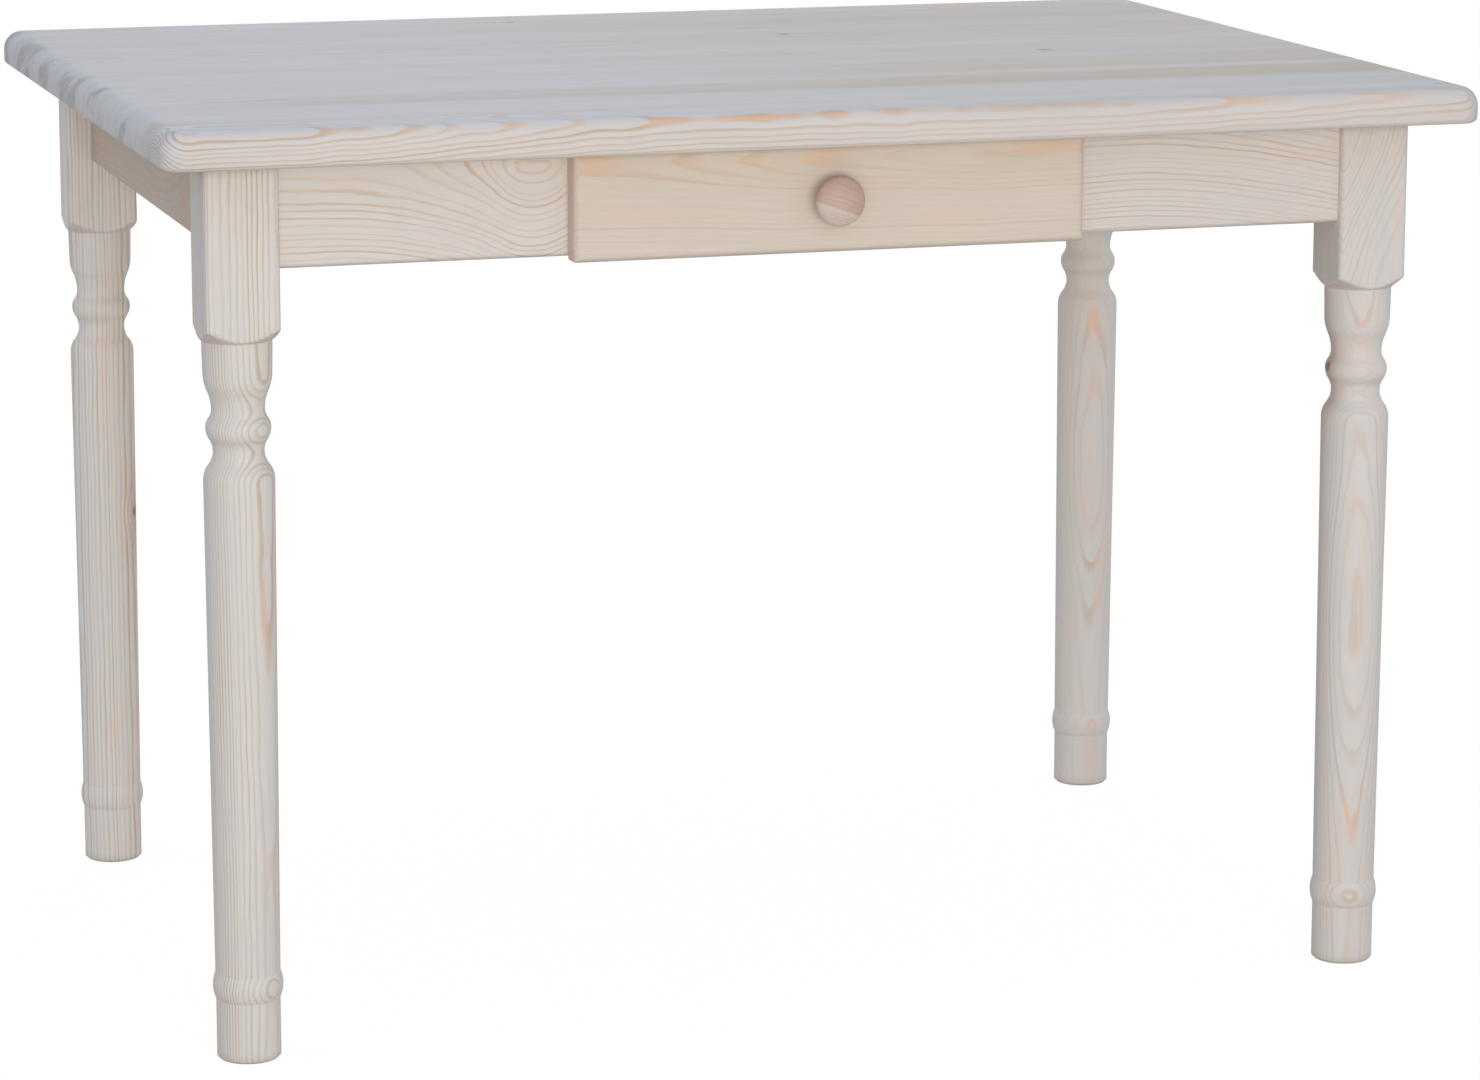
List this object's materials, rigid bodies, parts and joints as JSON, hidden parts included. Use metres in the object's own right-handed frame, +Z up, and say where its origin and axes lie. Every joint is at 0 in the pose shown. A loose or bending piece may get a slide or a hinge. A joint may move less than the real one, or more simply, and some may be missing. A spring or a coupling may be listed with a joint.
{
  "type": "tavern table with drawer",
  "caption": "Rectangular wooden tavern table with turned legs, an apron under the top and a drawer with a turned knob in the front apron.",
  "frame": {"origin": "on the floor under the middle of the top", "axes": "+X along the long side of the top to the right, +Y to the back, +Z up; the drawer opens to the front, -Y"},
  "size_m": [1.1, 0.8, 0.76],
  "materials": {
    "pine_top": "matt, raw",
    "pine": "matt, raw",
    "pine_knob": "matt, turned",
    "pine_inside": "sawn and planed, raw",
    "beech_dowel": "planed",
    "steel": "zinc plated"
  },
  "bodies": {
    "table": {"table_top": "pine_top", "leg_front_left": "pine", "leg_front_right": "pine", "leg_back_right": "pine", "leg_back_left": "pine", "front_apron": "pine", "back_apron": "pine", "left_apron": "pine", "right_apron": "pine", "corner_block_front_left": "pine_inside", "corner_block_front_right": "pine_inside", "corner_block_back_right": "pine_inside", "corner_block_back_left": "pine_inside", "top_cleat_left": "pine_inside", "top_cleat_right": "pine_inside", "drawer_runner_left": "pine_inside", "drawer_runner_right": "pine_inside", "drawer_guide_left": "pine_inside", "drawer_guide_right": "pine_inside", "drawer_stop": "pine_inside", "corner_block_screws": "steel", "hanger_bolts": "steel", "hanger_washers": "steel", "hanger_nuts": "steel", "top_screws": "steel", "cleat_screws": "steel", "runner_screws": "steel", "stop_screw": "steel", "runner_dowels": "beech_dowel"},
    "drawer": {"drawer_front": "pine", "drawer_knob": "pine_knob", "drawer_side_left": "pine_inside", "drawer_side_right": "pine_inside", "drawer_back": "pine_inside", "drawer_bottom": "pine_inside", "drawer_back_screws": "steel", "drawer_bottom_pins": "steel", "knob_screw": "steel", "drawer_front_dowels": "beech_dowel"}
  },
  "joints": [
    {"name": "drawer_slide", "type": "slide", "parent": "table", "child": "drawer", "axis": [0, -1, 0], "range_m": [0, 0.345]}
  ]
}
